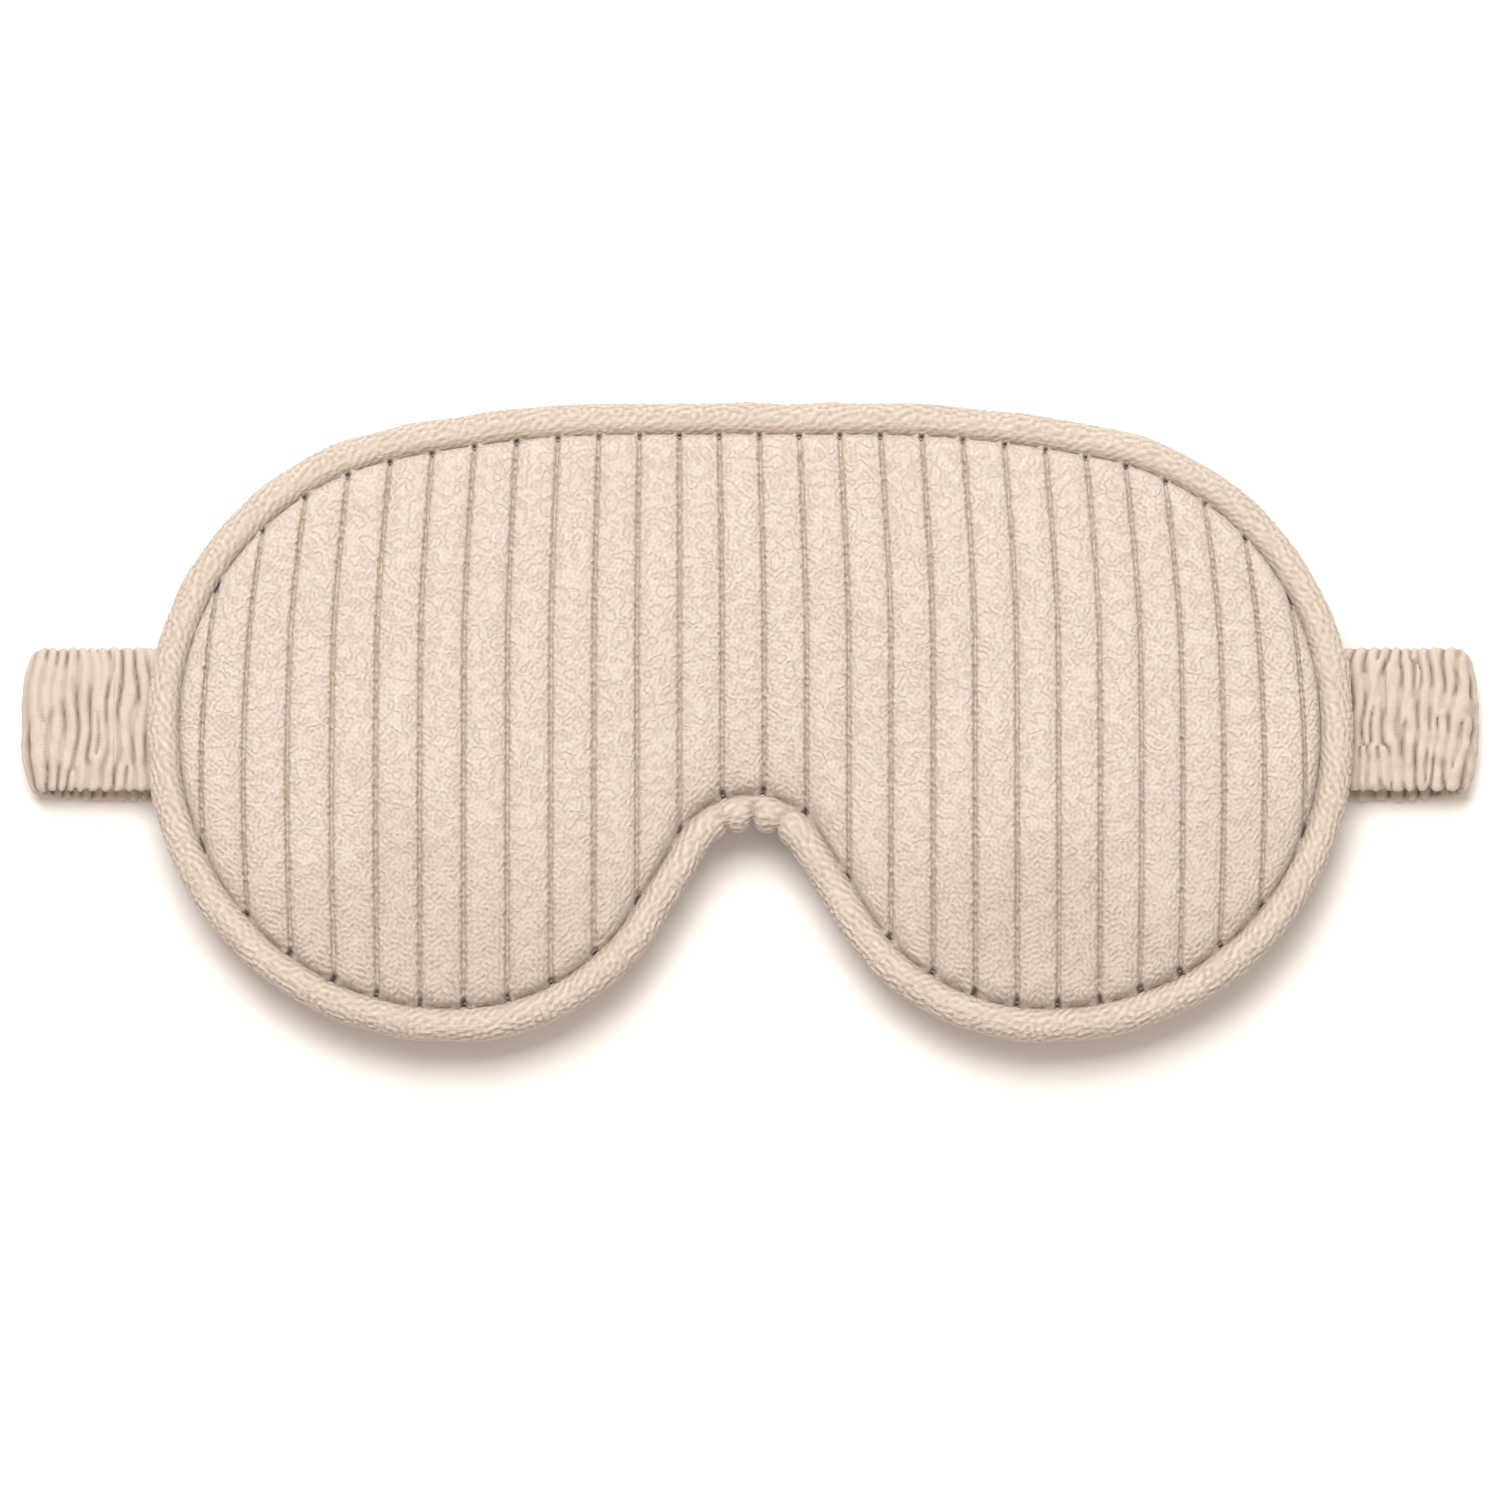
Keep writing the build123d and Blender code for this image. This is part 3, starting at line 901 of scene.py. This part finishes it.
jersey_material, tree, shader = cloth_material("jersey", roughness=0.85, sheen=0.2)
cloth_place = node(tree, "ShaderNodeUVMap", {}, uv_map="cloth").outputs[0]
where = node(tree, "ShaderNodeTexCoord", {}).outputs["Object"]
ruche_shade_mark = node(tree, "ShaderNodeAttribute", {}, attribute_name="ridge").outputs["Fac"]
axes = node(tree, "ShaderNodeSeparateXYZ", {0: cloth_place})
bend = calc(tree, "MULTIPLY", noise(tree, where, 300, detail=1.0), 6.0)
knit = calc(tree, "SINE", calc(tree, "MULTIPLY_ADD", axes.outputs[1], 2 * pi / 0.36, bend))
knit = calc(tree, "MULTIPLY_ADD", knit, 0.5, 0.5)
# Painted shade: the ruches' valleys are darkened almost to brown-black and their crests are lightened,
# following the ridge mark. The knit and the noise are the jersey's own.
share = calc(tree, "MINIMUM", calc(tree, "MULTIPLY_ADD", ruche_shade_mark, 1.35, -0.12), 0.90)
share = calc(tree, "MULTIPLY_ADD", knit, 0.14, calc(tree, "SUBTRACT", share, 0.08))
share = calc(tree, "MULTIPLY_ADD", noise(tree, where, 200, detail=2.0), 0.14, share)
colour = blend_colours(tree, share, (0.15, 0.10, 0.07, 1), (0.645, 0.553, 0.468, 1))
dress(tree, shader, colour, knit, 0.05 * mm)

elastic_material, tree, shader = cloth_material("elastic", roughness=0.7, sheen=0.05)
cloth_place = node(tree, "ShaderNodeUVMap", {}, uv_map="cloth").outputs[0]
axes = node(tree, "ShaderNodeSeparateXYZ", {0: cloth_place})
cord_wave = calc(tree, "SINE", calc(tree, "MULTIPLY", axes.outputs[1], 2 * pi / 1.1))
weft = calc(tree, "SINE", calc(tree, "MULTIPLY", axes.outputs[0], 2 * pi / 0.5))
braid = calc(tree, "MULTIPLY_ADD", cord_wave, 0.35, calc(tree, "MULTIPLY_ADD", weft, 0.15, 0.5))
colour = blend_colours(tree, braid, (0.62, 0.60, 0.57, 1), (0.86, 0.85, 0.82, 1))
dress(tree, shader, colour, braid, 0.12 * mm)


def ruche_ridges(seed, pitch, spread, along, across):
    """Ridges across the strap, 1 on their crests and 0 in the sharp valleys, that split and run
    together here and there: the rounded cosine of half the phase of a few waves added up."""
    random = np.random.default_rng(seed)
    level, lag = 0, 0
    for _ in range(10):
        angle = random.uniform(-spread, spread)
        rate = 2 * pi / pitch * random.uniform(0.8, 1.3)
        turn = random.uniform(0, 2 * pi) + rate * (cos(angle) * along - sin(angle) * across)
        level = level + np.cos(turn)
        lag = lag + np.sin(turn)
    return np.abs(np.cos(np.arctan2(lag, level) / 2)) ** 0.7


def strap_band(name, mirrored, ends, material, half_width, half_thick, around, step, ruched, hollow):
    """A length of the strap on one side, as a closed band. Its section is a superellipse, flat where
    it rests on the table. A ruched one is raised by two sets of ridges across the strap, a coarse
    one and pleats within it, which are lower where it passes under the mask. A hollow one returns
    inside itself as its own inner wall."""
    rows = int(round((ends[1] - ends[0]) / step)) + 1
    outer = np.linspace(ends[0], ends[1], rows)
    inner = np.linspace(ends[1], ends[0], max(rows // 4, 6)) if hollow else outer[:0]
    along = np.concatenate([outer, inner])[:, None]
    inside = (np.arange(len(along)) >= rows)[:, None]
    section = section_points(half_width, half_thick, 3.2, around)
    across, out, angle = (values[None, :] for values in section)
    seed = 62 if mirrored else 61
    side = 6 * mm * np.sin(angle)
    slid = along + 0.35 * mm * waves(seed + 10, 13 * mm, along, across, side)
    knots = waves(seed + 20, 5 * mm, along, across, side)
    gathers = ruche_ridges(seed, ruche_pitch, radians(8), slid + side * 0.10, across)
    pleats = ruche_ridges(seed + 30, 1.15 * mm, radians(14), slid, across)
    filled = 0.30 * smooth(0.5 + 0.6 * waves(seed + 40, 9 * mm, along, across, side))
    ridge = gathers * (0.72 + 0.28 * pleats)
    ridge = np.maximum(ridge, filled * 2)
    ridge = np.where(inside, 1, ridge) if ruched else np.ones(ridge.shape)
    free = smooth((along - 104 * mm + tab_low.x) / (4 * mm)) if ruched else np.ones(along.shape)
    swell = ridge * ruche_depth + (0.14 * knots - 0.78) * mm
    swell = np.maximum(swell * (0.4 + 0.6 * free), -0.68 * mm)
    swell = np.where(inside, 0, swell if ruched else 0)
    wall = np.where(inside, cover_wall, 0)
    sideways = across * (1 + (0.75 * swell - 1.6 * wall) / half_width)
    x, slipped, z, out_x, out_z = strap_line(along, sideways)
    out = out * (1 + (swell - wall) / half_thick)
    x = x + out * out_x
    z = z + out * out_z
    z = np.maximum(z, 0.02 * mm + np.where(inside, 0.35 * mm, 0))
    points = np.stack([-x if mirrored else x, slipped + sideways, z], axis=2)
    if not mirrored:
        points = points[:, ::-1]
        ridge = ridge[:, ::-1]
    if not hollow:
        middles = points[[0, -1]].mean(axis=1, keepdims=True)
        caps = np.repeat(middles, points.shape[1], axis=1)
        points = np.concatenate([caps[:1], points, caps[1:]], axis=0)
        ridge = np.pad(ridge, ((1, 1), (0, 0)), mode="edge")
    u = np.arange(len(points) + 1) * step / mm
    v = np.arange(around + 1) * 2.2 * (half_width + half_thick) * 2 / around / mm
    return cloth_mesh(
        name,
        points,
        material,
        u,
        v,
        loop_u=hollow,
        loop_v=True,
        marks={"ridge": ridge},
        weld=not hollow,
    )


# Each length's two bodies, and where the bend between them starts and ends: x and z in millimetres
bends = {
    "tab": ("mask", "strap_end", (97, 6.3), (103, 6.3)),
    "end": ("strap_end", "strap_fold", (121.59, 5.456), (123.60, 3.45)),
    "fold": ("strap_fold", "strap_run", (123.60, 4.35), (121.59, 2.344)),
    "back": ("strap_run", "strap_back", (60, 1.5), (30, 1.5)),
}
upper_cut_x = 111 * mm
lower_cut_x = 85 * mm
mid_stub = upper_cut_x - tab_low.x
mid_fold = straight + half_turn / 2
mid_run = straight + half_turn + fold_x - lower_cut_x
strap_end = straight + half_turn + fold_x
lengths = {
    "tab": (0, mid_stub),
    "end": (mid_stub, mid_fold),
    "fold": (mid_fold, mid_run),
    "back": (mid_run, strap_end),
}
covers = {"tab": ("tab",), "end": ("end",), "fold": ("fold", "run"), "back": ("back",)}
elastic_half_width = 10 * mm
elastic_half_thick = 0.6 * mm
for side in ("right", "left"):
    mirrored = side == "left"
    turned = -1 if mirrored else 1
    for place, ends in lengths.items():
        first_body, second_body, start, end = bends[place]
        first_body = first_body if first_body == "mask" else f"{first_body}_{side}"
        start = (turned * start[0] * mm, strap_y, start[1] * mm)
        end = (turned * end[0] * mm, strap_y, end[1] * mm)
        cover = strap_band(
            f"strap_cover_{place}_{side}",
            mirrored,
            ends,
            jersey_material,
            strap_half_width,
            strap_thick / 2,
            132,
            0.3 * mm,
            ruched=True,
            hollow=True,
        )
        band = strap_band(
            f"strap_elastic_{place}_{side}",
            mirrored,
            ends,
            elastic_material,
            elastic_half_width,
            elastic_half_thick,
            48,
            0.6 * mm,
            ruched=False,
            hollow=False,
        )
        for piece, stem, slot in ((cover, "cover", "jersey"), (band, "elastic", "elastic")):
            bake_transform(piece)
            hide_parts(*(f"{stem}_{node_place}_{side}" for node_place in covers[place]))

# --- Bar tacks ---------------------------------------------------------------------------------
# Short dense rows of the same polyester thread, sewn through the strap's ends and the lining, ten
# at each end. Their shape is plain, so only their material is changed.
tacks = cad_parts["strap_tacks"]
tacks.data.materials.clear()
tacks.data.materials.append(thread_material)

visual_low, visual_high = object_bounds()
rows = {
    "cad": [list(cad_low), list(cad_high)],
    "visual": [list(visual_low), list(visual_high)],
}
